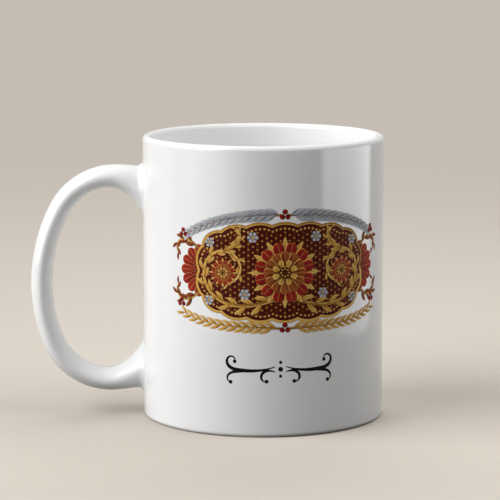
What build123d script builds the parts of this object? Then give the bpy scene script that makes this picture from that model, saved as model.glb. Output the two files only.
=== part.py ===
from build123d import *

import os
from math import cos, radians, sin, tan

# A straight-sided ceramic mug with a loop handle. Millimetres, +Z up.
# The origin is the centre of the foot on the body's axis, and the handle points along -X.

# Cup body
outer_diameter = 82.0
height = 96.0
lip_wall = 3.2            # clay at the mouth, rounded over its whole thickness
mouth_depth = 16.0        # straight stretch of the inner wall, from the top of the lip down
base_wall = 5.0           # clay where the inner wall would reach the floor
floor_height = 9.0        # inside floor above the table, at its edge
floor_dish = 0.8          # how much lower the floor is in its middle
floor_corner = 11.0       # radius between the floor and the inner wall

# Foot
heel_radius = 1.4         # outer edge of the foot
foot_land = 4.2           # flat ring that the mug stands on
foot_edge = 0.8           # radius of the ring's inner edge
foot_draft = 1.0          # slope of the ring's inner side, measured across
recess_depth = 3.0        # how far the base is raised inside the ring

# Handle
handle_width = 14.0
handle_thickness = 7.6
handle_drop = 14.8        # from the rim down to the middle of the upper arm at the wall
handle_lift = 11.4        # from the table up to the middle of the lower arm at its low end
arm_rise = 3.3            # degrees the upper arm climbs as it leaves the wall
arm_length = 8.4          # straight run from the wall to the shoulder
shoulder_radius = 19.8
shoulder_turn = 59.0      # degrees
back_turn = 56.0          # degrees, over the long arc of the back
elbow_radius = 22.1
return_rise = 8.0         # degrees the lower arm climbs back to the wall

# Roots, where the handle grows into the wall
root_reach = 16.0         # how far from the wall the flare starts
upper_flare = 8.3         # extra depth on the inside of the loop, at the wall
lower_flare = 8.0
root_spread = 1.2         # extra half width at the wall
root_overrun = 3.0        # how far the strap runs on into the wall before it is trimmed
slip_bed = 0.4            # slip between the handle's end and the wall
slip_bead = 1.8           # radius of the rounded bead around each root

outer_radius = outer_diameter / 2
mouth_radius = outer_radius - lip_wall
floor_edge = outer_radius - base_wall
land_inner = outer_radius - heel_radius - foot_land
recess_edge = land_inner - foot_draft


# The body is one section of clay turned about its axis, from the foot up the outside, over the lip
# and down the inside to the middle of the floor, then back under the raised base.
with BuildPart() as cup_body:
    with BuildSketch(Plane.XZ) as wall_section:
        with BuildLine():
            shoulder_height = height - lip_wall / 2
            Polyline((land_inner, 0), (outer_radius, 0), (outer_radius, shoulder_height))
            ThreePointArc(
                (outer_radius, shoulder_height),
                (outer_radius - lip_wall / 2, height),
                (mouth_radius, shoulder_height),
            )
            Polyline(
                (mouth_radius, shoulder_height),
                (mouth_radius, height - mouth_depth),
                (floor_edge, floor_height),
            )
            TangentArc(
                (0, floor_height - floor_dish),
                (floor_edge, floor_height),
                tangent=(1, 0),
            )
            Polyline(
                (0, floor_height - floor_dish),
                (0, recess_depth),
                (recess_edge, recess_depth),
                (land_inner, 0),
            )
        make_face()
        corner_radii = [
            ((outer_radius, 0), heel_radius),
            ((land_inner, 0), foot_edge),
            ((floor_edge, floor_height), floor_corner),
        ]
        for corner, radius in corner_radii:
            fillet(wall_section.vertices().sort_by_distance(corner)[0], radius)
    revolve(axis=Axis.Z)


# The handle follows a line in the plane Y = 0: an arm out of the wall, three tangent arcs round the
# fingers, and an arm back to the wall. Its headings are degrees from +X, and the back's radius is
# the one that brings the line down from the upper arm to the lower one.
shoulder_start = 180 - arm_rise
back_start = shoulder_start + shoulder_turn
elbow_start = back_start + back_turn
elbow_end = 360 + return_rise
root_height = height - handle_drop
arm_tip_height = root_height + arm_length * sin(radians(arm_rise))


def fall(start, end):
    """How far the line comes down, for each unit of an arc's radius, between two headings."""
    return cos(radians(end)) - cos(radians(start))


back_fall = (
    arm_tip_height
    - handle_lift
    - shoulder_radius * fall(shoulder_start, back_start)
    - elbow_radius * fall(elbow_start, elbow_end)
)
back_radius = back_fall / fall(back_start, elbow_start)

with BuildLine(Plane.XZ) as handle_line:
    upper_arm = PolarLine(
        (-outer_radius + root_overrun, root_height - root_overrun * tan(radians(arm_rise))),
        arm_length + root_overrun / cos(radians(arm_rise)),
        shoulder_start,
    )
    shoulder = JernArc(upper_arm @ 1, upper_arm % 1, shoulder_radius, shoulder_turn)
    back = JernArc(shoulder @ 1, shoulder % 1, back_radius, back_turn)
    elbow = JernArc(back @ 1, back % 1, elbow_radius, elbow_end - elbow_start)
    return_length = (-outer_radius + root_overrun - (elbow @ 1).X) / cos(radians(return_rise))
    lower_arm = PolarLine(elbow @ 1, return_length, return_rise)


def strap_section(line, share, root_flare):
    """The oval across the handle at a share of the way along one stretch of its line.

    It is two half ellipses that meet in the loop's own plane. Near the wall its inner side grows.
    """
    point = line @ share
    reach = max(0, -point.X - outer_radius)
    flare = max(0, 1 - reach / root_reach) ** 3
    half_width = handle_width / 2 + root_spread * flare
    half_depth = (handle_thickness + root_flare * flare) / 2
    centre = (0, root_flare * flare / 2)
    with BuildSketch(Plane(origin=point, x_dir=(0, 1, 0), z_dir=line % share)) as section:
        with BuildLine():
            for outer_edge in (-90, 90):
                EllipticalCenterArc(centre, half_width, half_depth, outer_edge, arc_size=180)
        make_face()
    return section.sketch


# One loft runs through all the ovals: each stretch gives its own, and the last is inside the wall.
sections_each = 3
stretches = [
    (upper_arm, upper_flare),
    (shoulder, upper_flare),
    (back, 0),
    (elbow, lower_flare),
    (lower_arm, lower_flare),
]
ovals = [
    strap_section(line, step / sections_each, root_flare)
    for line, root_flare in stretches
    for step in range(sections_each)
]
ovals.append(strap_section(lower_arm, 1, lower_flare))
with BuildPart() as strap:
    loft(ovals)

# The ends are trimmed to the wall's curve, short of it by the bed of slip.
with BuildPart() as handle:
    add(strap.part)
    with Locations((0, 0, height / 2)):
        Cylinder(outer_radius + slip_bed, height, mode=Mode.SUBTRACT)


def slip_joint(kept_half):
    """The slip at one root: the rounded join of strap and wall, less the wall and the handle."""
    with BuildPart() as joint:
        add(strap.part)
        with Locations((0, 0, height / 2)):
            Cylinder(outer_radius, height)
        fillet(joint.edges(Select.NEW), slip_bead)
        with Locations((0, 0, height / 2)):
            Cylinder(outer_radius, height, mode=Mode.SUBTRACT)
        add(handle.part, mode=Mode.SUBTRACT)
        split(bisect_by=Plane.XY.offset((back @ 0.5).Z), keep=kept_half)
    return joint


upper_slip_joint = slip_joint(Keep.TOP)
lower_slip_joint = slip_joint(Keep.BOTTOM)

cup_body.part.label = "cup_body"
handle.part.label = "handle"
upper_slip_joint.part.label = "upper_slip_joint"
lower_slip_joint.part.label = "lower_slip_joint"

os.makedirs("parts", exist_ok=True)
for piece in (cup_body, handle, upper_slip_joint, lower_slip_joint):
    export_step(piece.part, f"parts/{piece.part.label}.step")
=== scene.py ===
from math import ceil, cos, pi, radians, sin, sqrt, tan

import bmesh
import bpy
import numpy as np
from mathutils import Matrix, Vector


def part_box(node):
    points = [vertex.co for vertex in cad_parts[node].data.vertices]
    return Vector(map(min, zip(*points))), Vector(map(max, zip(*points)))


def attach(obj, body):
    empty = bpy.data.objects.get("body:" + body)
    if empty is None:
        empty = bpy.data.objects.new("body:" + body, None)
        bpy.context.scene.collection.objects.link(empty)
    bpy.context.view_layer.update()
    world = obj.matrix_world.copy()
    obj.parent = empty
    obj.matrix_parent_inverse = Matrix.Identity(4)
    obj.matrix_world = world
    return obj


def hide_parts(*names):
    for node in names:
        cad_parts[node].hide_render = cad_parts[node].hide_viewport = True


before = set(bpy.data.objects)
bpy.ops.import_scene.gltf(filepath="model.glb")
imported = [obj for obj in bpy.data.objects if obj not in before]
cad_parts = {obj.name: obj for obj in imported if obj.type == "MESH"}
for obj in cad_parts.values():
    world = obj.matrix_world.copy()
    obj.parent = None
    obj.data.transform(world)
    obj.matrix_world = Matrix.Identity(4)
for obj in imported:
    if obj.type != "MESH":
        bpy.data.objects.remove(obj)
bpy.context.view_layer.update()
mm = 0.001


# The cup body
# White stoneware, cast in one piece and turned true on the wheel, then dipped in a clear glossy glaze.
# The flat ring it stands on is wiped clean before firing, so bare clay shows there.
body_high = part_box("cup_body")[1]
wall_radius = body_high.x
rim_height = body_high.z
lip_wall = 3.2 * mm
mouth_depth = 16 * mm
base_wall = 5 * mm
floor_height = 9 * mm
floor_dish = 0.8 * mm
floor_corner = 11 * mm
heel_radius = 1.4 * mm
foot_land = 4.2 * mm
foot_edge = 0.8 * mm
foot_draft = 1 * mm
recess_depth = 3 * mm
recess_corner = 1.6 * mm
wall_bend = 140 * mm
body_facets = 288
arc_step = radians(6)
straight_step = 2 * mm
weld = 0.002 * mm

mouth_radius = wall_radius - lip_wall
floor_edge = wall_radius - base_wall
land_inner = wall_radius - heel_radius - foot_land
recess_edge = land_inner - foot_draft

white_glaze = (0.9, 0.9, 0.9, 1)
thin_glaze = (0.865, 0.86, 0.85, 1)
bare_clay = (0.68, 0.64, 0.56, 1)
clay_grain = (0.8, 0.77, 0.7, 1)
cloud_scale = 38
cloud_reach = 0.35, 0.75
cloud_strength = 0.5
ripple_scale = 85
ripple_height = 0.012 * mm
peel_scale = 620
peel_share = 0.06
pinhole_scale = 150
pinhole_size = 0.035
pinhole_depth = 1.2
gloss = 0.05
smear_scale = 210
smear_roughness = 0.05
glaze_ior = 1.52
lip_band = 1.1 * mm
lip_thinning = 0.6
glaze_line = -0.12 * mm, -0.02 * mm
glaze_waver = 0.9 * mm
waver_scale = 160
grain_scale = 2600
clay_relief = 0.05 * mm
clay_roughness = 0.8


def outline(corners):
    """Points along a run of corners (across, up, radius), each rounded by its radius."""
    ends = [Vector(corners[0][:2])]
    for before, corner, after in zip(corners, corners[1:], corners[2:]):
        here = Vector(corner[:2])
        back = (Vector(before[:2]) - here).normalized()
        onward = (Vector(after[:2]) - here).normalized()
        half = back.angle(onward) / 2
        centre = here + (back + onward).normalized() * corner[2] / sin(half)
        spoke = here + back * corner[2] / tan(half) - centre
        turn = (pi - 2 * half) * (1 if back.y * onward.x > back.x * onward.y else -1)
        steps = ceil(abs(turn) / arc_step)
        ends += [centre + Matrix.Rotation(turn * step / steps, 2) @ spoke for step in range(steps + 1)]
    ends.append(Vector(corners[-1][:2]))
    points = [ends[0]]
    for start, end in zip(ends, ends[1:]):
        steps = ceil((end - start).length / straight_step)
        points += [start.lerp(end, (step + 1) / steps) for step in range(steps)]
    return points


def feed(target, inputs):
    """Gives a node's inputs their values or sockets."""
    for key, value in dict(inputs).items():
        if isinstance(value, bpy.types.NodeSocket):
            target.id_data.links.new(value, target.inputs[key])
        else:
            target.inputs[key].default_value = value


def node(tree, kind, inputs=(), **settings):
    """Adds a node with its settings and inputs."""
    made = tree.nodes.new(kind)
    for setting, value in settings.items():
        setattr(made, setting, value)
    feed(made, inputs)
    return made


def out(tree, kind, inputs=(), **settings):
    """The first output of a new node."""
    return node(tree, kind, inputs, **settings).outputs[0]


def new_tree(name, kind, inputs, outputs):
    """A node tree with these sockets, what it is given, and its output node."""
    tree = bpy.data.node_groups.new(name, kind)
    for direction, sockets in (("INPUT", inputs), ("OUTPUT", outputs)):
        for socket, socket_type in sockets.items():
            tree.interface.new_socket(socket, in_out=direction, socket_type="NodeSocket" + socket_type)
    return tree, tree.nodes.new("NodeGroupInput").outputs, tree.nodes.new("NodeGroupOutput")


def dressed(geometry, material, result):
    """Ends a geometry tree: what it drew is made real and takes its material."""
    tree = geometry.id_data
    real = out(tree, "GeometryNodeRealizeInstances", {"Geometry": geometry})
    feed(result, {0: out(tree, "GeometryNodeSetMaterial", {"Geometry": real, "Material": material})})
    return tree


def new_mesh(name, vertices, edges=(), faces=()):
    """A mesh of these points, lines and faces."""
    mesh = bpy.data.meshes.new(name)
    mesh.from_pydata(vertices, edges, faces)
    return mesh


def in_scene(name, data):
    """A new object in the scene."""
    thing = bpy.data.objects.new(name, data)
    bpy.context.scene.collection.objects.link(thing)
    return thing


def made_by_nodes(name, start, tree, values):
    """An object with the plain mesh that a node tree makes of a start."""
    piece = in_scene(name, start)
    modifier = piece.modifiers.new(tree.name, "NODES")
    modifier.node_group = tree
    for socket in tree.interface.items_tree:
        if socket.name in values:
            modifier[socket.identifier] = values[socket.name]
    evaluated = piece.evaluated_get(bpy.context.evaluated_depsgraph_get())
    baked = bpy.data.meshes.new_from_object(evaluated)
    piece.modifiers.clear()
    piece.data = baked
    return piece


def turned_cup_tree():
    """Turns a section of clay about the cup's axis."""
    inputs = {"Section": "Geometry", "Wall radius": "Float", "Facets": "Int", "Glaze": "Material"}
    tree, given, result = new_tree("turned_cup", "GeometryNodeTree", inputs, {"Cup": "Geometry"})
    section = out(tree, "GeometryNodeMeshToCurve", {"Mesh": given["Section"]})
    wheel = {"Resolution": given["Facets"], "Radius": given["Wall radius"]}
    wheel = out(tree, "GeometryNodeCurvePrimitiveCircle", wheel)
    turned = out(tree, "GeometryNodeCurveToMesh", {"Curve": wheel, "Profile Curve": section})
    closed = out(tree, "GeometryNodeMergeByDistance", {"Geometry": turned, "Distance": weld})
    smooth = out(tree, "GeometryNodeSetShadeSmooth", {"Geometry": closed})
    return dressed(smooth, given["Glaze"], result)


def maths(operation, *values):
    """One sum on sockets and numbers."""
    tree = next(value.id_data for value in values if isinstance(value, bpy.types.NodeSocket))
    return out(tree, "ShaderNodeMath", dict(enumerate(values)), operation=operation)


def times(first, second):
    """The product of two of them."""
    return maths("MULTIPLY", first, second)


def ramp(value, low, high, start=0, end=1, curve="LINEAR"):
    """Goes from start to end while a value goes from low to high."""
    inputs = {"Value": value, "From Min": low, "From Max": high, "To Min": start, "To Max": end}
    return out(value.id_data, "ShaderNodeMapRange", inputs, interpolation_type=curve)


def blend(share, first, second, kind="RGBA"):
    """The first colour or number, with a share of the second."""
    inputs = {"Factor": share, "A": first, "B": second}
    return node(share.id_data, "ShaderNodeMix", inputs, data_type=kind).outputs["Result"]


def noise(place, scale, detail):
    """Cloudy noise, from 0 to 1."""
    inputs = {"Vector": place, "Scale": scale, "Detail": detail}
    return out(place.id_data, "ShaderNodeTexNoise", inputs)


def own_place(tree):
    """The place on the object."""
    return node(tree, "ShaderNodeTexCoord").outputs["Object"]


def split(vector):
    """A vector's X, Y and Z."""
    return node(vector.id_data, "ShaderNodeSeparateXYZ", {"Vector": vector}).outputs


def glaze_skin_group():
    """The faint life of a fired glaze: cloudy tone, a rippled skin and a few pinholes."""
    outputs = {"Colour": "Color", "Roughness": "Float", "Normal": "Vector"}
    tree, given, result = new_tree("glaze_skin", "ShaderNodeTree", {"Gloss": "Float"}, outputs)
    place = own_place(tree)
    cloud_share = ramp(noise(place, cloud_scale, 3), *cloud_reach, 0, cloud_strength)
    ripple = noise(place, ripple_scale, 1.5)
    peel = noise(place, peel_scale, 1)
    holes = out(tree, "ShaderNodeTexVoronoi", {"Vector": place, "Scale": pinhole_scale})
    hole = ramp(holes, 0, pinhole_size, -pinhole_depth, 0)
    height = maths("ADD", maths("MULTIPLY_ADD", peel, peel_share, ripple), hole)
    smear = noise(place, smear_scale, 3)
    skin = {
        "Colour": blend(cloud_share, white_glaze, thin_glaze),
        "Roughness": maths("MULTIPLY_ADD", smear, smear_roughness, given["Gloss"]),
        "Normal": out(tree, "ShaderNodeBump", {"Height": height, "Distance": ripple_height}),
    }
    feed(result, skin)
    return tree


glaze_skin = glaze_skin_group()


def new_material(name):
    """A node material, its tree and its Principled shader."""
    material = bpy.data.materials.new(name)
    material.use_nodes = True
    return material, material.node_tree, material.node_tree.nodes["Principled BSDF"]


def glazed(name, gloss):
    """Such a material with the glaze's skin on its shader, and that skin."""
    material, tree, shader = new_material(name)
    skin = node(tree, "ShaderNodeGroup", {"Gloss": gloss}, node_tree=glaze_skin).outputs
    feed(shader, {"Roughness": skin["Roughness"], "Normal": skin["Normal"]})
    return material, tree, shader, skin


def cup_glaze_material():
    """Glossy glaze, thinner over the lip, with bare clay on the foot ring below a wavering line."""
    material, tree, shader, skin = glazed("cup_glaze", gloss)
    place = own_place(tree)
    height = split(place)["Z"]
    line = maths("MULTIPLY_ADD", noise(place, waver_scale, 2), -glaze_waver, height)
    bare = ramp(line, *glaze_line, 1, 0)
    lip = ramp(height, rim_height - lip_band, rim_height, 0, lip_thinning, "SMOOTHSTEP")
    over_lip = blend(lip, skin["Colour"], thin_glaze)
    grain = noise(place, grain_scale, 4)
    relief = {"Height": times(grain, bare), "Distance": clay_relief, "Normal": skin["Normal"]}
    surface = {
        "Base Color": blend(bare, over_lip, blend(grain, bare_clay, clay_grain)),
        "Roughness": blend(bare, skin["Roughness"], clay_roughness, "FLOAT"),
        "Normal": out(tree, "ShaderNodeBump", relief),
        "IOR": glaze_ior,
    }
    feed(shader, surface)
    return material


cup_corners = [
    (0, floor_height - floor_dish, 0),
    (floor_edge, floor_height, floor_corner),
    (mouth_radius, rim_height - mouth_depth, wall_bend),
    (mouth_radius, rim_height, lip_wall / 2),
    (wall_radius, rim_height, lip_wall / 2),
    (wall_radius, 0, heel_radius),
    (land_inner, 0, foot_edge),
    (recess_edge, recess_depth, recess_corner),
    (0, recess_depth, 0),
]
section_points = [(point.x - wall_radius, -point.y, 0) for point in outline(cup_corners)]
section_edges = [(index, index + 1) for index in range(len(section_points) - 1)]
cup = made_by_nodes(
    "glazed_cup",
    new_mesh("cup_section", section_points, section_edges),
    turned_cup_tree(),
    {"Wall radius": wall_radius, "Facets": body_facets, "Glaze": cup_glaze_material()},
)
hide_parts("cup_body")
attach(cup, "root")


# The handle
# A strap of the same clay, cast by itself and stuck to the wall with slip at both roots. The maker's
# wet finger rounds the slip into a bead, and the glaze runs over strap, bead and wall as one skin.
# The strap's line is drawn a little finer here than in the solid, and stays within a millimetre of it.
handle_width = 14 * mm
handle_thickness = 7.5 * mm
handle_drop = 14.7 * mm
handle_lift = 11.6 * mm
arm_rise = radians(4.5)
arm_length = 7.4 * mm
shoulder_radius = 21.8 * mm
shoulder_turn = radians(66.5)
back_turn = radians(48.4)
elbow_radius = 21.7 * mm
return_rise = radians(7)
upper_reach = 21.8 * mm
upper_flare = 7.3 * mm
upper_sharpness = 3.9
lower_reach = 17.6 * mm
lower_flare = 7.3 * mm
lower_sharpness = 3.1
root_spread = 1.2 * mm
slip_bead = 2.4 * mm
bead_steps = 14
sunk = 0.02 * mm
sunk_spread = 0.3 * mm
line_sunk = 2 * mm
end_run = 16 * mm
end_trials = 240
line_step = 0.25 * mm
ring_step = 1.3 * mm
settling = 12 * mm
strap_facets = 96

pooled_glaze = (0.86, 0.88, 0.88, 1)
pool_width = 1.6 * slip_bead

back_start = pi - arm_rise + shoulder_turn
elbow_start = back_start + back_turn
elbow_end = 2 * pi + return_rise
line_start = Vector((-wall_radius + line_sunk, rim_height - handle_drop - line_sunk * tan(arm_rise)))
arm_run = arm_length + line_sunk / cos(arm_rise)
arm_tip = line_start + arm_run * Vector((-cos(arm_rise), sin(arm_rise)))


def fall(start, end):
    """How far a line comes down, for each unit of an arc's radius, between two headings."""
    return cos(end) - cos(start)


back_radius = (
    arm_tip.y
    - handle_lift
    - shoulder_radius * fall(pi - arm_rise, back_start)
    - elbow_radius * fall(elbow_start, elbow_end)
) / fall(back_start, elbow_start)

# Each stretch of the line down the middle of the strap: how long it is, and how far it turns.
stretches = [
    (arm_run, 0),
    (shoulder_radius * shoulder_turn, shoulder_turn),
    (back_radius * back_turn, back_turn),
    (elbow_radius * (elbow_end - elbow_start), elbow_end - elbow_start),
    (end_run, 0),
]
line_points = [line_start]
line_headings = [pi - arm_rise]
for length, turn in stretches:
    steps = ceil(length / line_step)
    for _ in range(steps):
        middle = line_headings[-1] + turn / steps / 2
        line_points.append(line_points[-1] + length / steps * Vector((cos(middle), sin(middle))))
        line_headings.append(line_headings[-1] + turn / steps)
line_points = np.array(line_points)
line_headings = np.array(line_headings)


def runs_along(points):
    """How far along a line each of its points is."""
    return np.concatenate(([0], np.cumsum(np.linalg.norm(np.diff(points, axis=0), axis=1))))


line_runs = runs_along(line_points)


def strap_skin(run, around):
    """Points on the strap, at runs along its line and angles around its oval."""
    across = np.interp(run, line_runs, line_points[:, 0])
    up = np.interp(run, line_runs, line_points[:, 1])
    heading = np.interp(run, line_runs, line_headings)
    from_wall = -across - wall_radius
    upper = run < line_runs[-1] / 2
    nearness = np.maximum(0, 1 - from_wall / np.where(upper, upper_reach, lower_reach))
    fade = nearness ** np.where(upper, upper_sharpness, lower_sharpness)
    flare = np.where(upper, upper_flare, lower_flare) * fade
    inward = flare / 2 + (handle_thickness + flare) / 2 * np.sin(around)
    sideways = (handle_width / 2 + root_spread * np.minimum(1, fade)) * np.cos(around)
    ahead = across - inward * np.sin(heading)
    return np.stack([ahead, sideways, up + inward * np.cos(heading)], axis=-1)


around_strap = np.linspace(0, 2 * pi, strap_facets, endpoint=False)


def root_runs(trial_runs, gap):
    """For each angle around the strap, the run at which its skin is that far from the wall."""
    found = []
    for angle in around_strap:
        skin = strap_skin(trial_runs, angle)
        gaps = np.hypot(skin[..., 0], skin[..., 1]) - wall_radius
        found.append(np.interp(gap, gaps, trial_runs))
    return np.array(found)


def unrolled_outline(trial_runs, gap):
    """The strap's outline at one gap from the wall, unrolled flat, and its outward directions."""
    ring = strap_skin(root_runs(trial_runs, gap), around_strap)
    bend = (wall_radius + gap) * np.arctan2(ring[:, 1], -ring[:, 0])
    unrolled = np.stack([bend, ring[:, 2]], axis=-1)
    along = np.roll(unrolled, -1, axis=0) - np.roll(unrolled, 1, axis=0)
    outward = np.stack([along[:, 1], -along[:, 0]], axis=-1)
    outward /= np.linalg.norm(outward, axis=1, keepdims=True)
    outward *= np.sign(np.sum(outward * (unrolled - unrolled.mean(axis=0)), axis=1, keepdims=True))
    return unrolled, outward


def bead_ring(trial_runs, gap, spread):
    """A ring of the slip bead: the outline at one gap, spread outwards and rolled up again."""
    unrolled, outward = unrolled_outline(trial_runs, gap)
    unrolled = unrolled + spread[:, None] * outward
    radius = wall_radius + gap
    angle = unrolled[:, 0] / radius
    return np.stack([-radius * np.cos(angle), radius * np.sin(angle), unrolled[:, 1]], axis=-1)


def root_rings(trial_runs):
    """The rings of one root, from the sunk end out to where the strap is clear of the bead.

    The bead is round and touches wall and strap. Its centre lies nearer where the strap leans more.
    """
    at_wall, outward = unrolled_outline(trial_runs, 0)
    near_wall, _ = unrolled_outline(trial_runs, slip_bead / 2)
    lean = np.maximum(0, np.sum((at_wall - near_wall) * outward, axis=1) / (slip_bead / 2))
    stretched = np.sqrt(1 + lean**2)
    centre = slip_bead * (stretched - lean)
    bead_top = slip_bead * (1 - lean / stretched)
    rings = [bead_ring(trial_runs, -sunk, centre + sunk_spread)]
    for step in range(bead_steps, -1, -1):
        gap = slip_bead * (1 - sin(pi / 2 * step / bead_steps))
        round_edge = sqrt(slip_bead**2 - (slip_bead - gap) ** 2)
        spread = np.where(gap < bead_top, centre - round_edge + lean * gap, 0)
        rings.append(bead_ring(trial_runs, gap, spread))
    return rings


near_runs = np.linspace(0, end_run, end_trials)
far_runs = line_runs[-1] - near_runs
upper_meeting = root_runs(near_runs, slip_bead)
lower_meeting = root_runs(far_runs, slip_bead)
strap_rings = []
first_run = upper_meeting.mean()
last_run = lower_meeting.mean()
ring_count = ceil((last_run - first_run) / ring_step)
for ring in range(1, ring_count):
    run = first_run + (last_run - first_run) * ring / ring_count
    near_start = max(0, 1 - (run - first_run) / settling) ** 2
    near_end = max(0, 1 - (last_run - run) / settling) ** 2
    bent = near_start * (upper_meeting - first_run) + near_end * (lower_meeting - last_run)
    strap_rings.append(strap_skin(run + bent, around_strap))

rings = root_rings(near_runs) + strap_rings + root_rings(far_runs)[::-1]
handle_vertices = [tuple(point) for ring in rings for point in ring]
handle_faces = []
for ring in range(len(rings) - 1):
    for facet in range(strap_facets):
        onward = (facet + 1) % strap_facets
        low = ring * strap_facets
        high = low + strap_facets
        handle_faces.append((low + facet, low + onward, high + onward, high + facet))
for end in (0, len(rings) - 1):
    middle = len(handle_vertices)
    handle_vertices.append(tuple(rings[end].mean(axis=0)))
    low = end * strap_facets
    for facet in range(strap_facets):
        handle_faces.append((low + facet, low + (facet + 1) % strap_facets, middle))
handle_mesh = new_mesh("glazed_handle", handle_vertices, [], handle_faces)

# The faces are turned outward.
shell = bmesh.new()
shell.from_mesh(handle_mesh)
bmesh.ops.recalc_face_normals(shell, faces=shell.faces)
shell.to_mesh(handle_mesh)
shell.free()
handle_mesh.shade_smooth()


def handle_glaze_material():
    """The cup's glaze on the strap, gathered thicker and a little cooler in the hollow of the beads."""
    material, tree, shader, skin = glazed("handle_glaze", gloss)
    flat = {0: own_place(tree), 1: (1, 1, 0)}
    flat = out(tree, "ShaderNodeVectorMath", flat, operation="MULTIPLY")
    from_axis = node(tree, "ShaderNodeVectorMath", {0: flat}, operation="LENGTH").outputs["Value"]
    pooled = ramp(from_axis, wall_radius, wall_radius + pool_width, 1, 0, "SMOOTHSTEP")
    feed(shader, {"Base Color": blend(pooled, skin["Colour"], pooled_glaze), "IOR": glaze_ior})
    return material


handle_mesh.materials.append(handle_glaze_material())
handle = in_scene("glazed_handle", handle_mesh)
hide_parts("handle", "upper_slip_joint", "lower_slip_joint")
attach(handle, "root")


# The ornament's ground
# The ornament is printed in satin ceramic inks, wrapped round the wall and fired on, so it has no edge
# to feel. A dark scalloped cartouche is laid first, with a gold line and gold beads round its edge.
print_turn = radians(10)
print_height = 54.8 * mm
film_back = 0.05 * mm
film_weld = 0.001 * mm
overlap = 0.0001 * mm
ground_half_width = 29.2 * mm
ground_half_height = 15.2 * mm
ground_squareness = 3.1
ground_lobes = 18
lobe_depth = 1.0 * mm
lobe_roundness = 0.8
ground_points = 288
ground_rings = 26
rim_half_width = 0.5
rim_beads = 109
bead_inset = 1.7 * mm
ground_lift = 0.012 * mm
rim_lift = 0.018 * mm
rim_bead_lift = 0.024 * mm
stroke_facets = 6
dot_pitch = 1.5 * mm
dot_row = 1.9 * mm
dot_squash = 0.8
dot_edge = 0.13, 0.22
dot_strength = 0.85
stripe_edge = 0.24, 0.4
stripe_strength = 0.8
wear_scale = 900
wear_strength = 0.5
bare_border = 2.5 * mm, 2.9 * mm
ink_roughness = 0.45
ink_specular = 0.04
hair_scale = 1100
hair_share = 0.7
tint_share = 0.12
dark_reach = -0.05, 0.45
light_reach = 0.4, 1.25
streak_offset = 0.38
streak_reach = 0.05, 0.42
streak_strength = 0.55
vein_strength = 0.7
edge_softness = 0.1


def ink(red, green, blue):
    """A printing ink's colour from the 0 to 255 steps that a colour chart gives."""
    steps = (step / 255 for step in (red, green, blue))
    return (*[step / 12.92 if step <= 0.04045 else ((step + 0.055) / 1.055) ** 2.4 for step in steps], 1)


# A set of inks is its shade, body, light and edge.
outline_ink = ink(38, 20, 12)
ochre_inks = ink(118, 74, 26), ink(206, 148, 60), ink(246, 208, 122), outline_ink
ground_shade, ground_gold = ink(52, 20, 13), ink(196, 140, 60)
ground_stripes = ink(92, 36, 20), ink(86, 18, 20)
ink_tones = "Shade", "Body", "Light", "Edge"
film_inputs = {"Turn": "Float", "Height": "Float", "Lift": "Float", "Ink": "Material"}


def wrapped_film_tree():
    """Makes a flat design, drawn round (0, 0), a thin film on the cup's wall."""
    inputs = {"Flat": "Geometry", "Wall radius": "Float", **film_inputs}
    tree, given, result = new_tree("wrapped_film", "GeometryNodeTree", inputs, {"Film": "Geometry"})
    thickness = maths("ADD", given["Lift"], film_back)
    front = {"Mesh": given["Flat"], "Offset": (0, 0, 1), "Offset Scale": thickness, "Individual": False}
    front = node(tree, "GeometryNodeExtrudeMesh", front, mode="FACES").outputs
    smooth = out(tree, "GeometryNodeSetShadeSmooth", {"Geometry": front["Mesh"]})
    edged = {"Geometry": smooth, "Selection": front["Side"], "Shade Smooth": False}
    edged = out(tree, "GeometryNodeSetShadeSmooth", edged)
    back = out(tree, "GeometryNodeFlipFaces", {"Mesh": given["Flat"]})
    both = node(tree, "GeometryNodeJoinGeometry", {"Geometry": edged})
    feed(both, {"Geometry": back})
    closed = {"Geometry": both.outputs[0], "Distance": film_weld}
    closed = out(tree, "GeometryNodeMergeByDistance", closed)
    flat = split(out(tree, "GeometryNodeInputPosition"))
    angle = maths("ADD", maths("DIVIDE", flat["X"], given["Wall radius"]), given["Turn"])
    level = maths("SUBTRACT", flat["Z"], film_back)
    radius = maths("ADD", given["Wall radius"], level)
    place = {
        "X": times(radius, maths("SINE", angle)),
        "Y": times(radius, times(maths("COSINE", angle), -1)),
        "Z": maths("ADD", flat["Y"], given["Height"]),
    }
    wrapped = {"Geometry": closed, "Position": out(tree, "ShaderNodeCombineXYZ", place)}
    wrapped = out(tree, "GeometryNodeSetPosition", wrapped)
    return dressed(wrapped, given["Ink"], result)


wrapped_film = wrapped_film_tree()


def print_tree(name, inputs):
    """A tree for one kind of print, what it is given, and its end, which wraps what it drew."""
    inputs = {**inputs, **film_inputs}
    tree, given, result = new_tree(name, "GeometryNodeTree", inputs, {"Film": "Geometry"})

    def wrap(flat):
        film = {"Flat": flat, "Wall radius": wall_radius, **{name: given[name] for name in film_inputs}}
        film = out(tree, "GeometryNodeGroup", film, node_tree=wrapped_film)
        return dressed(film, given["Ink"], result)

    return tree, given, wrap


def stored(geometry, name, value, domain="POINT"):
    """Geometry that carries a named number for the inks to read."""
    inputs = {"Geometry": geometry, "Name": name, "Value": value}
    kind = "GeometryNodeStoreNamedAttribute"
    return out(geometry.id_data, kind, inputs, data_type="FLOAT", domain=domain)


def carried(tree, name):
    """The named number that each point of a mesh carries."""
    inputs = {"Name": name}
    return node(tree, "GeometryNodeInputNamedAttribute", inputs, data_type="FLOAT").outputs["Attribute"]


def sheet_tree():
    """Prints a flat mesh as it is."""
    _, given, wrap = print_tree("printed_sheet", {"Sheet": "Geometry"})
    return wrap(given["Sheet"])


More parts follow.
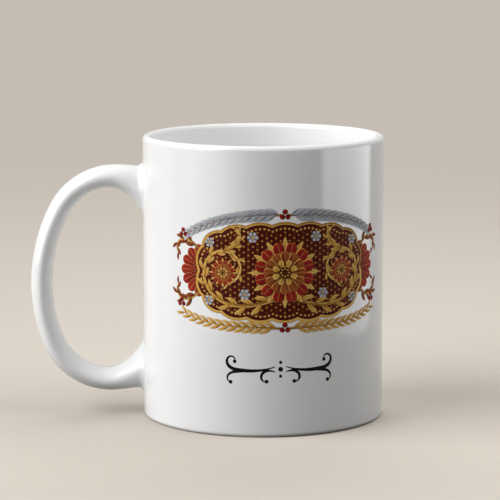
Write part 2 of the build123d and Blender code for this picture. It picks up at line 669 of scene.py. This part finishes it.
def stroke_tree():
    """Draws each line of a mesh as a flat stroke, as wide at each point as its half_width says."""
    tree, given, wrap = print_tree("strokes", {"Lines": "Geometry"})
    line = out(tree, "GeometryNodeMeshToCurve", {"Mesh": given["Lines"]})
    share = out(tree, "GeometryNodeSplineParameter")
    nib = out(tree, "GeometryNodeCurvePrimitiveLine", {"Start": (-1, 0, 0), "End": (1, 0, 0)})
    nib = out(tree, "GeometryNodeResampleCurve", {"Curve": nib, "Count": stroke_facets + 1})
    side = split(out(tree, "GeometryNodeInputPosition"))["X"]
    stroke = {
        "Curve": stored(line, "along", share),
        "Profile Curve": stored(nib, "across", side),
        "Scale": carried(tree, "half_width"),
    }
    return wrap(out(tree, "GeometryNodeCurveToMesh", stroke))


def motifs_at(points, motif_object, heading, **more):
    """Copies of a motif on points, turned to a heading."""
    tree = points.id_data
    inputs = {
        "Points": points,
        "Instance": node(tree, "GeometryNodeObjectInfo", {"Object": motif_object}).outputs["Geometry"],
        "Rotation": out(tree, "ShaderNodeCombineXYZ", {"Z": heading}),
        **more,
    }
    return out(tree, "GeometryNodeInstanceOnPoints", inputs)


def tinted(copies, seed):
    """Such copies made real, each a little lighter or darker by chance."""
    tree = copies.id_data
    chance = node(tree, "FunctionNodeRandomValue", {2: -1.0, 3: 1.0, "Seed": seed}, data_type="FLOAT")
    copies = stored(copies, "tint", chance.outputs[1], "INSTANCE")
    return out(tree, "GeometryNodeRealizeInstances", {"Geometry": copies})


def motif_line_tree():
    """Sets motifs along each line of a mesh, by turns to its left and right, smaller to the tip."""
    inputs = {"Lines": "Geometry", "Left motif": "Object", "Right motif": "Object", "Count": "Int"}
    inputs.update(dict.fromkeys(("Bare share", "Lean", "Tip size"), "Float"))
    tree, given, wrap = print_tree("motifs_on_lines", inputs)
    line = out(tree, "GeometryNodeMeshToCurve", {"Mesh": given["Lines"]})
    spots = out(tree, "GeometryNodeResampleCurve", {"Curve": line, "Count": given["Count"]})
    share = out(tree, "GeometryNodeSplineParameter")
    index = out(tree, "GeometryNodeInputIndex")
    tangent = split(out(tree, "GeometryNodeInputTangent"))
    heading = maths("ARCTAN2", tangent["Y"], tangent["X"])
    odd = maths("MODULO", index, 2)
    size = ramp(share, 0, 1, 1, given["Tip size"])
    set_here = maths("GREATER_THAN", share, given["Bare share"])
    raised = out(tree, "ShaderNodeCombineXYZ", {"Z": times(index, overlap)})
    spots = out(tree, "GeometryNodeSetPosition", {"Geometry": spots, "Offset": raised})
    sides = node(tree, "GeometryNodeJoinGeometry")
    even = maths("SUBTRACT", 1, odd)
    for side, sign, chosen in (("Left motif", 1, odd), ("Right motif", -1, even)):
        turn = maths("ADD", heading, times(given["Lean"], sign))
        chosen = times(set_here, chosen)
        motifs = motifs_at(spots, given[side], turn, Selection=chosen, Scale=size)
        feed(sides, {"Geometry": motifs})
    return wrap(tinted(sides.outputs[0], 4))


def read(tree, name, kind="Fac"):
    """What a mesh carries under a name, for an ink."""
    return node(tree, "ShaderNodeAttribute", attribute_name=name).outputs[kind]


def layered(colour, layers):
    """A colour with others laid over it, each with its share."""
    for share, layer in layers:
        colour = blend(share, colour, layer)
    return colour


def brushed_ink_group():
    """The brush work inside one motif: dark root, lighter tip, a lit streak, a vein and a dark edge."""
    inputs = {**dict.fromkeys(ink_tones, "Color"), "Edge width": "Float", "Vein width": "Float"}
    tree, given, result = new_tree("brushed_ink", "ShaderNodeTree", inputs, {"Colour": "Color"})
    across = read(tree, "across")
    hairs = maths("SUBTRACT", noise(own_place(tree), hair_scale, 3), 0.5)
    wavy = maths("MULTIPLY_ADD", hairs, hair_share, read(tree, "along"))
    level = maths("ADD", wavy, times(read(tree, "tint"), tint_share))
    dark_part = ramp(level, *dark_reach)
    lit_part = ramp(level, *light_reach)
    from_streak = maths("ABSOLUTE", maths("ADD", across, streak_offset))
    streak = ramp(from_streak, *streak_reach, streak_strength, 0, "SMOOTHSTEP")
    from_middle = maths("ABSOLUTE", across)
    edge_start = maths("SUBTRACT", 1, given["Edge width"])
    edge = ramp(from_middle, edge_start, maths("ADD", edge_start, edge_softness))
    vein = ramp(from_middle, 0, given["Vein width"], vein_strength, 0)
    lit = maths("MAXIMUM", lit_part, streak)
    layers = [(lit, given["Light"]), (vein, given["Edge"]), (edge, given["Edge"])]
    brushed = blend(dark_part, given["Shade"], given["Body"])
    feed(result, {"Colour": layered(brushed, layers)})
    return tree


brushed_ink = brushed_ink_group()


def satin(name):
    """A satin ink: the glaze's ripple under it, and little of its shine."""
    material, tree, shader, _ = glazed(name, ink_roughness)
    feed(shader, {"Specular IOR Level": ink_specular})
    return material, tree, shader


def ink_material(name, inks, edge_width, vein_width):
    """A satin ink brushed in four tones."""
    material, tree, shader = satin(name)
    brush = {**dict(zip(ink_tones, inks)), "Edge width": edge_width, "Vein width": vein_width}
    feed(shader, {"Base Color": out(tree, "ShaderNodeGroup", brush, node_tree=brushed_ink)})
    return material


def ground_material():
    """Dark chestnut and dark red stripes, with a fine diaper of gold dots that sit in half-drop rows."""
    material, tree, shader = satin("ground_ink")
    flat = split(read(tree, "flat_place", "Vector"))
    across = maths("DIVIDE", flat["X"], dot_pitch)
    column = maths("ROUND", across)
    odd = maths("ABSOLUTE", maths("MODULO", column, 2))
    row = maths("DIVIDE", flat["Y"], dot_row)
    up = maths("ADD", row, times(odd, 0.5))
    off_column = times(maths("SUBTRACT", across, column), dot_squash)
    off_row = maths("SUBTRACT", up, maths("ROUND", up))
    squares = maths("ADD", maths("POWER", off_column, 2), maths("POWER", off_row, 2))
    dots = ramp(maths("SQRT", squares), *dot_edge, dot_strength, 0, "SMOOTHSTEP")
    inside = ramp(read(tree, "to_edge"), *bare_border)
    worn = noise(own_place(tree), wear_scale, 3)
    stripe = ramp(maths("ABSOLUTE", off_column), *stripe_edge, curve="SMOOTHSTEP")
    layers = [
        (times(stripe, stripe_strength), ground_shade),
        (times(worn, wear_strength), ground_shade),
        (times(dots, inside), ground_gold),
    ]
    feed(shader, {"Base Color": layered(blend(odd, *ground_stripes), layers)})
    return material


def printed(name, start, tree, lift, material, values=()):
    """A piece of print: what a tree makes of a start, at its level in the film."""
    place = {"Turn": print_turn, "Height": print_height, "Lift": lift, "Ink": material}
    piece = made_by_nodes(name, start, tree, {**place, **dict(values)})
    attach(piece, "root")


def carry(mesh, name, values, kind="FLOAT", field="value"):
    """Gives each point of a mesh a named value."""
    mesh.attributes.new(name, kind, "POINT").data.foreach_set(field, values)


def lines_mesh(name, lines, closed=False):
    """A mesh of lines, each given as points in millimetres and the half width at each. A closed one
    runs on to its first point."""
    vertices, edges, widths = [], [], []
    for points, half_widths in lines:
        first = len(vertices)
        vertices += [(point[0] * mm, point[1] * mm, 0) for point in points]
        last = len(vertices) - 1
        edges += [(index, index + 1) for index in range(first, last)]
        edges += [(last, first)] * closed
        widths += [width * mm for width in half_widths]
    mesh = new_mesh(name, vertices, edges)
    carry(mesh, "half_width", widths)
    return mesh


def motif(name, length, half_width, bend, outline_width, steps=14, facets=6):
    """A flat motif that grows along +X from (0, 0) and bends as it goes. A function gives the share of
    half_width that it has at each share of its length."""
    vertices, along, across = [], [], []
    point = Vector((0, 0))
    for step in range(steps + 1):
        share = step / steps
        if step:
            middle = bend * (share - 0.5 / steps)
            point = point + length / steps * Vector((cos(middle), sin(middle)))
        side = Vector((-sin(bend * share), cos(bend * share))) * half_width * outline_width(share)
        for facet in range(facets + 1):
            place = 2 * facet / facets - 1
            spot = point + side * place
            vertices.append((spot.x * mm, spot.y * mm, 0))
            along.append(share)
            across.append(place)
    row = facets + 1
    faces = [
        (low, low + row, low + row + 1, low + 1)
        for step in range(steps)
        for low in range(step * row, step * row + facets)
    ]
    mesh = new_mesh(name, vertices, [], faces)
    carry(mesh, "along", along)
    carry(mesh, "across", across)
    return bpy.data.objects.new(name, mesh)


def disc(share):
    """A round bead's outline."""
    return 2 * (max(0, share - share ** 2)) ** 0.5 + 0.0001


def bead(name, radius):
    """A round bead, centred on its place."""
    shape = motif(name, 2 * radius, radius, 0, disc, steps=10)
    shape.data.transform(Matrix.Translation((-radius * mm, 0, 0)))
    return shape


motifs_on_lines = motif_line_tree()


def on_lines(name, lines, shapes, lift, material, count, bare_share, lean, tip_size):
    """Motifs on some lines: one shape for their left, and one for their right."""
    values = {"Left motif": shapes[0], "Right motif": shapes[-1], "Count": count}
    values.update({"Bare share": bare_share, "Lean": lean, "Tip size": tip_size})
    start = lines_mesh(name + "_lines", [(line, [0] * len(line)) for line in lines])
    printed(name, start, motifs_on_lines, lift, material, values)
    for shape in set(shapes):
        bpy.data.objects.remove(shape)


def scalloped_edge(inset):
    """The cartouche's edge, in metres about its middle, drawn in by an inset."""
    turns = np.linspace(0, 2 * pi, 4 * ground_points + 1)
    circle = np.stack([np.cos(turns), np.sin(turns)], axis=-1)
    half_size = np.array([ground_half_width, ground_half_height]) - inset
    oval = half_size * np.sign(circle) * np.abs(circle) ** (2 / ground_squareness)
    runs = runs_along(oval)
    shares = np.linspace(0, 1, ground_points + 1)
    edge = np.stack([np.interp(shares * runs[-1], runs, oval[:, axis]) for axis in (0, 1)], axis=-1)
    outward = np.gradient(edge, axis=0)
    outward[0] = outward[-1] = (0, 1)
    outward = np.stack([outward[:, 1], -outward[:, 0]], axis=-1)
    outward /= np.linalg.norm(outward, axis=1, keepdims=True)
    lobes = np.abs(np.sin(pi * ground_lobes * shares)) ** lobe_roundness
    return edge + lobe_depth * lobes[:, None] * outward


ground_edge = scalloped_edge(0)[:-1]
ground_vertices = [(0, 0, 0)]
ground_faces = []
for ring in range(1, ground_rings + 1):
    ground_vertices += [(across, up, 0) for across, up in ground_edge * ring / ground_rings]
for facet in range(ground_points):
    onward = (facet + 1) % ground_points
    ground_faces.append((0, 1 + facet, 1 + onward))
    for ring in range(ground_rings - 1):
        low = 1 + ring * ground_points
        high = low + ground_points
        ground_faces.append((low + facet, high + facet, high + onward, low + onward))
ground_mesh = new_mesh("ground", ground_vertices, [], ground_faces)
carry(ground_mesh, "flat_place", np.array(ground_vertices).ravel(), "FLOAT_VECTOR", "vector")
gaps = np.array(ground_vertices)[:, None, :2] - ground_edge[None]
carry(ground_mesh, "to_edge", np.linalg.norm(gaps, axis=-1).min(axis=1))
printed("ornament_ground", ground_mesh, sheet_tree(), ground_lift, ground_material())

strokes = stroke_tree()
gold_line = ink_material("gold_line", ochre_inks, 0.2, 0.01)
rim_line = lines_mesh("rim_line", [(ground_edge / mm, [rim_half_width] * ground_points)], closed=True)
printed("ground_rim", rim_line, strokes, rim_lift, gold_line)
inner_points = scalloped_edge(bead_inset) / mm
gold_bead = ink_material("gold_bead", ochre_inks, 0.2, 0.01)
rim_bead = [bead("rim_bead", 0.42)]
bead_row = {"count": rim_beads, "bare_share": 0.001, "lean": 0.0, "tip_size": 1.0}
on_lines("ground_beads", [inner_points], rim_bead, rim_bead_lift, gold_bead, **bead_row)


# The ornament's scrolls
# A gold scroll springs from below the middle on each side and curls in round a small rosette. Thinner
# tendrils leave the cartouche at its ends, and a spray below and a garland above follow its edge.
stem_lift = 0.024 * mm


def curl(start, heading, *bends, steps=48):
    """Points of a line through stretches whose bend changes evenly, each given as its first and last
    bend, in radians per millimetre, and its length."""
    points = [Vector(start)]
    heading = radians(heading)
    for first_bend, last_bend, length in bends:
        for step in range(steps):
            run = (step + 0.5) / steps * length
            angle = heading + first_bend * run + (last_bend - first_bend) * run * run / length / 2
            points.append(points[-1] + length / steps * Vector((cos(angle), sin(angle))))
        heading += (first_bend + last_bend) / 2 * length
    return points


def both_sides(lines):
    """Lines with their mirror images about the middle of the design."""
    return lines + [[(-point[0], point[1]) for point in line] for line in lines]


def tapered(points, root, tip):
    """A line's points with half widths that run from the root's to the tip's."""
    last = len(points) - 1
    return points, [tip + (root - tip) * (1 - (index / last) ** 1.6) for index in range(len(points))]


scroll = curl((2.6, -8.6), -19, (0.006, 0.218, 58))
branch = curl((20.6, 6.9), 160, (0.02, -0.42, 11))
spray = curl((1.5, -18.4), 4, (-0.01, 0.028, 34))
garland = curl((0.8, 18.9), 1, (-0.008, -0.024, 33))
tendril = curl((29.6, 7.4), 42, (-0.03, -0.44, 13))
low_tendril = curl((29.6, -7.4), -42, (0.03, 0.44, 13))
stem_lines = [tapered(line, 0.7, 0.4) for line in both_sides([scroll])]
stem_lines += [tapered(line, 0.5, 0.34) for line in both_sides([branch, tendril, low_tendril])]
stem_lines += [tapered(line, 0.4, 0.22) for line in both_sides([spray, garland])]
stem_mesh = lines_mesh("stem_lines", stem_lines)
printed("ornament_stems", stem_mesh, strokes, stem_lift, gold_line)


# The ornament's leaves
# Leaves in gold ochre on the scrolls and the sprays below, in chestnut on the tendrils and in silver grey
# on the garland above. Each is brushed dark at the stalk and light at the tip, with a vein down it.
leaf_lift = 0.03 * mm
chestnut_inks = ink(56, 22, 12), ink(116, 50, 24), ink(184, 102, 52), outline_ink
silver_inks = ink(96, 96, 102), ink(160, 162, 168), ink(226, 228, 232), ink(74, 70, 70)


def broad_leaf(share):
    """A broad leaf's outline: narrow at the stalk, broad below its middle, and pointed."""
    return 1.75 * (share + 0.02) ** 0.75 * (1.001 - share) ** 0.7


def lance_leaf(share):
    """A narrow leaf's outline."""
    return 1.95 * (share + 0.02) ** 0.8 * (1.001 - share) ** 0.85


ochre_leaf = ink_material("ochre_leaf", ochre_inks, 0.13, 0.1)
chestnut_leaf = ink_material("chestnut_leaf", chestnut_inks, 0.13, 0.1)
silver_leaf = ink_material("silver_leaf", silver_inks, 0.12, 0.1)

# For each kind of stem: its name, its lines, its leaves' length, half width, curve, outline and ink, how
# many places it has, the share of it that stays bare, how far leaves lean, and the last one's size.
tendrils = [tendril, low_tendril]
leaf_rows = [
    ("scroll_leaves", [scroll], 5.2, 1.35, 40, broad_leaf, ochre_leaf, 23, 0.02, 50, 0.5),
    ("branch_leaves", [branch], 3.4, 0.9, 40, broad_leaf, ochre_leaf, 9, 0.1, 48, 0.6),
    ("tendril_leaves", tendrils, 4.4, 1.15, 40, broad_leaf, chestnut_leaf, 9, 0.1, 46, 0.6),
    ("spray_leaves", [spray], 5.0, 1.0, 22, lance_leaf, ochre_leaf, 25, 0.03, 34, 0.75),
    ("garland_leaves", [garland], 5.4, 1.35, 20, lance_leaf, silver_leaf, 27, 0.0, 30, 0.7),
]
for name, lines, length, half_width, curve, form, leaf_ink, count, bare, lean, tip_size in leaf_rows:
    pair = [motif("leaf", length, half_width, turn * radians(curve), form) for turn in (-1, 1)]
    on_lines(name, both_sides(lines), pair, leaf_lift, leaf_ink, count, bare, radians(lean), tip_size)


# The ornament's rosettes
# A large rosette in the middle and one inside each scroll, built up from rings of petals, a dark button
# and a ring of beads, each printed over the last.
petal_lift = 0.036 * mm
ring_lift = 0.006 * mm
rosette_places = [((0, 0), 0.92), ((20.6, -0.2), 0.38), ((-20.6, -0.2), 0.38)]
gold_edge = ink(226, 176, 88)
dark_red_inks = ink(56, 8, 12), ink(116, 22, 23), ink(176, 50, 40), outline_ink


def ring_tree():
    """Sets a ring of one motif round each point of a mesh, as large as the point's size says."""
    inputs = {"Places": "Geometry", "Motif": "Object", "Count": "Int"}
    inputs.update(dict.fromkeys(("Ring radius", "First turn"), "Float"))
    tree, given, wrap = print_tree("rings_of_motifs", inputs)
    index = out(tree, "GeometryNodeInputIndex")
    pitch = maths("DIVIDE", 2 * pi, given["Count"])
    heading = maths("ADD", times(index, pitch), given["First turn"])
    spot = {
        "X": times(maths("COSINE", heading), given["Ring radius"]),
        "Y": times(maths("SINE", heading), given["Ring radius"]),
    }
    spots = {"Count": given["Count"], "Position": out(tree, "ShaderNodeCombineXYZ", spot)}
    ring = motifs_at(out(tree, "GeometryNodePoints", spots), given["Motif"], heading)
    rings = {
        "Points": given["Places"],
        "Instance": tinted(ring, 7),
        "Scale": carried(tree, "size"),
    }
    rings = out(tree, "GeometryNodeInstanceOnPoints", rings)
    return wrap(out(tree, "GeometryNodeRealizeInstances", {"Geometry": rings}))


rings_of_motifs = ring_tree()


def ring_of(name, places, shape, count, radius, first_turn, lift, material, values=()):
    """A ring of one motif round each place, given in millimetres with its ring's size."""
    mesh = new_mesh(name + "_places", [(across * mm, up * mm, 0) for (across, up), _ in places])
    carry(mesh, "size", [size for _, size in places])
    ring = {"Motif": shape, "Count": count, "Ring radius": radius * mm, "First turn": first_turn}
    printed(name, mesh, rings_of_motifs, lift, material, {**ring, **dict(values)})
    bpy.data.objects.remove(shape)


def round_petal(share):
    """A petal's outline: narrow at the root, broadest near its rounded tip."""
    return min(1, 0.28 + 0.85 * share ** 0.8) * (1.0001 - max(0, (share - 0.62) / 0.38) ** 2.2) ** 0.5


chestnut_petal = ink_material("chestnut_petal", (*chestnut_inks[:3], gold_edge), 0.13, 0.07)
red_petal = ink_material("red_petal", (*dark_red_inks[:3], gold_edge), 0.12, 0.07)
ochre_petal = ink_material("ochre_petal", ochre_inks, 0.16, 0.08)
button_inks = (outline_ink, outline_ink, chestnut_inks[1], gold_edge)
dark_button = ink_material("dark_button", button_inks, 0.1, 0.01)

# Each ring from the lowest up: its name, its motif, how many, its radius, its first turn and its ink.
rosette_rings = [
    ("rosette_sepals", motif("sepal", 8.2, 1.9, 0, lance_leaf), 12, 4.6, 0, ochre_petal),
    ("rosette_outer_petals", motif("outer_petal", 7.4, 2.4, 0, round_petal), 12, 3.6, pi / 12, red_petal),
    ("rosette_middle_petals", motif("middle_petal", 5.2, 1.8, 0, round_petal), 12, 2.6, 0, chestnut_petal),
    ("rosette_inner_petals", motif("inner_petal", 3.1, 1.3, 0, round_petal), 8, 1.6, pi / 8, ochre_petal),
    ("rosette_buttons", bead("button", 2.3), 1, 0, 0, dark_button),
    ("rosette_beads", bead("rosette_bead", 0.36), 8, 1.35, 0, gold_bead),
]
lift = petal_lift
for name, shape, count, radius, first_turn, material in rosette_rings:
    ring_of(name, rosette_places, shape, count, radius, first_turn, lift, material)
    lift += ring_lift


# The ornament's blossoms and berries
# Half rosettes in dark red close the cartouche at both ends, silver blossoms light its dark corners, and
# threes of dark red berries sit at both ends of each garland and spray.
end_lift = 0.008 * mm
berry_lift = 0.04 * mm
silver_petal = ink_material("silver_petal", silver_inks, 0.14, 0.05)
berry_red = ink_material("berry_red", dark_red_inks, 0.18, 0.01)


def mirrored(places):
    """Each place with its size, and its mirror image after it."""
    return [((side * across, up), size) for across, up, size in places for side in (1, -1)]


ends = mirrored([(27.6, 0, 1.0)])
blossoms = mirrored([(13.2, -7.2, 0.62), (10.6, 11.6, 0.62), (25.2, 9.6, 0.56), (25.6, -9.6, 0.56)])
berries = [((0, -18.3), 0.9), ((0, 18.9), 0.9)] + mirrored([(35.6, 12, 0.8), (36.4, -11.2, 0.8)])
end_petal = motif("end_petal", 7.4, 1.9, 0, round_petal)
blossom_petal = motif("blossom_petal", 2.4, 1.1, 0, round_petal)
ring_of("end_petals", ends, end_petal, 14, 1.6, 0, end_lift, red_petal)
ring_of("blossom_petals", blossoms, blossom_petal, 6, 0.5, 0, berry_lift, silver_petal)
ring_of("blossom_eyes", blossoms, bead("eye", 0.75), 1, 0, 0, berry_lift + ring_lift, gold_bead)
ring_of("berries", berries, bead("berry", 1.0), 3, 1.2, pi / 2, berry_lift, berry_red)


# The flourish
# A pen flourish in black below the ornament: a long stroke to each side that ends in a curl, a shorter
# one that curls back over it, and dots between them.
flourish_values = {"Turn": radians(8), "Height": 22.9 * mm}
finest = 0.14
pen_inks = ink(8, 8, 10), ink(14, 14, 16), ink(30, 30, 32), ink(6, 6, 8)


def penned(points, broadest):
    """A line's points with half widths that swell in its middle, as a broad nib writes."""
    last = len(points) - 1
    swell = [sin(pi * index / last) ** 1.2 for index in range(len(points))]
    return points, [finest + (broadest - finest) * share for share in swell]


black_pen = ink_material("black_pen", pen_inks, 0.1, 0.01)
long_stroke = curl((1.8, 0.9), -22, (0.06, 0.02, 12), (0.02, 0.95, 10.5))
outer_stroke = curl(long_stroke[30], -4, (0.02, -0.04, 5.5), (-0.04, -0.95, 6))
inner_stroke = curl((1.8, -0.9), 22, (-0.1, -0.8, 8.5))
pen_strokes = [
    penned(line, broadest)
    for stroke, broadest in ((long_stroke, 0.62), (outer_stroke, 0.46), (inner_stroke, 0.46))
    for line in both_sides([stroke])
]
pen_lines = lines_mesh("pen_lines", pen_strokes)
printed("pen_flourish", pen_lines, strokes, stem_lift, black_pen, flourish_values)
dot_places = [((0, 0), 1.15), ((0, 2.3), 0.75), ((0, -2.3), 0.75)]
dot_places += mirrored([(*stroke[-1], 0.9) for stroke in (long_stroke, outer_stroke, inner_stroke)])
ring_of("pen_dots", dot_places, bead("pen_dot", 0.7), 1, 0, 0, leaf_lift, black_pen, flourish_values)


# The studio
# A plain pale floor under a tall soft window on the left, a soft lamp high on the right and one behind,
# with two low cards that only the glaze sees.
floor_colour = (0.62, 0.565, 0.5, 1)
front_bounce = (0.1, 0.095, 0.09, 1)
back_bounce = (0.6, 0.58, 0.55, 1)
bounce_change = -20 * mm, 60 * mm
floor_radius = 9
floor_facets = 64
floor_roughness = 0.9
near_floor = 0.12
far_floor = 0.9
far_floor_light = 0.9
ambient = 0.07
far_wall = 0.6
lamp_aim = (0, 0, rim_height / 2)
card_height = 95 * mm
card_middle = card_height / 2
camera_place = (0, -0.8069, 0.1774)
camera_aim = (-0.00453, 0.00129, 0.05603)
lens = 171.9


def seen_directly(tree):
    """1 for rays that show a surface to the camera or in a gloss or glass, 0 for its bounced light."""
    rays = node(tree, "ShaderNodeLightPath").outputs
    gloss_or_glass = maths("MAXIMUM", rays["Is Glossy Ray"], rays["Is Transmission Ray"])
    return maths("MAXIMUM", rays["Is Camera Ray"], gloss_or_glass)


def floor_material():
    """Pale matt paint that takes the object's shadow and throws little light back onto it. Further off
    it passes into an even backdrop that no lamp can make brighter."""
    material, tree, shader = new_material("studio_floor")
    seen = seen_directly(tree)
    place = own_place(tree)
    behind = ramp(split(place)["Y"], *bounce_change, curve="SMOOTHSTEP")
    paint = blend(seen, blend(behind, front_bounce, back_bounce), floor_colour)
    distance = node(tree, "ShaderNodeVectorMath", {0: place}, operation="LENGTH").outputs["Value"]
    far = ramp(distance, near_floor, far_floor, curve="SMOOTHSTEP")
    surface = {
        "Base Color": blend(far, paint, (0, 0, 0, 1)),
        "Emission Strength": times(times(far, seen), far_floor_light),
        "Emission Color": floor_colour,
        "Roughness": floor_roughness,
        "Specular IOR Level": 0,
    }
    feed(shader, surface)
    return material


rim_angles = np.linspace(0, 2 * pi, floor_facets, endpoint=False)
floor_rim = [(floor_radius * cos(angle), floor_radius * sin(angle), 0) for angle in rim_angles]
floor_mesh = new_mesh("studio_floor", floor_rim, [], [range(floor_facets)])
floor_mesh.materials.append(floor_material())
floor = in_scene("studio_floor", floor_mesh)


def aimed(name, data, place, aim):
    """A lamp or a camera that points from its place to a point."""
    holder = in_scene(name, data)
    holder.location = place
    holder.rotation_euler = (Vector(aim) - Vector(place)).to_track_quat("-Z", "Y").to_euler()
    return holder


def soft_lamp(name, place, aim, width, height, brightness):
    """A rectangular lamp that is as bright as that many times white paper."""
    lamp = bpy.data.lights.new(name, "AREA")
    lamp.shape = "RECTANGLE"
    lamp.size = width
    lamp.size_y = height
    lamp.energy = brightness * pi * width * height
    holder = aimed(name, lamp, place, aim)
    holder.visible_camera = False
    return holder


soft_lamp("window", (-1.12, -0.45, 0.66), lamp_aim, width=1.4, height=1.9, brightness=3.75)
high_lamp = soft_lamp("high_lamp", (0.5, -0.06, 0.67), lamp_aim, width=0.7, height=0.7, brightness=2.6)
back_lamp = soft_lamp("back_lamp", (0, 1, 0.88), lamp_aim, width=1, height=1, brightness=2)
back_lamp.visible_glossy = False
high_lamp.visible_glossy = False


def reflector(name, place, aim, width, brightness, foot, soft_side):
    """A standing card that only the glaze reflects, dimmer at its foot and soft at its sides."""
    card = soft_lamp(name, (*place, card_middle), (*aim, card_middle), width, card_height, brightness)
    card.visible_diffuse = False
    card.data.use_nodes = True
    tree = card.data.node_tree
    share = split(node(tree, "ShaderNodeNewGeometry").outputs["Parametric"])
    fade = ramp(share["Y"], 0, 1, foot, 1)
    side = ramp(maths("PINGPONG", share["X"], 0.5), 0, soft_side, curve="SMOOTHSTEP")
    feed(tree.nodes["Emission"], {"Strength": times(fade, side)})


# Each card: its name, place, aim, width and brightness, its foot's share of that, and its soft part.
reflector("right_card", (200 * mm, -37 * mm), (0, -37 * mm), 274 * mm, 3.77, 0.356, 0.16)
reflector("left_card", (-160 * mm, -151 * mm), (0, 0), 350 * mm, 1.45, 0.85, 0.45)

world = bpy.data.worlds.new("studio_air")
bpy.context.scene.world = world
world.use_nodes = True
air = world.node_tree
strength = blend(seen_directly(air), ambient, far_wall, "FLOAT")
feed(air.nodes["Background"], {"Color": (1, 1, 1, 1), "Strength": strength})

camera_data = bpy.data.cameras.new("camera")
camera_data.lens = lens
camera_data.clip_start = 0.05
bpy.context.scene.camera = aimed("camera", camera_data, camera_place, camera_aim)

bpy.context.scene.view_settings.view_transform = "Standard"
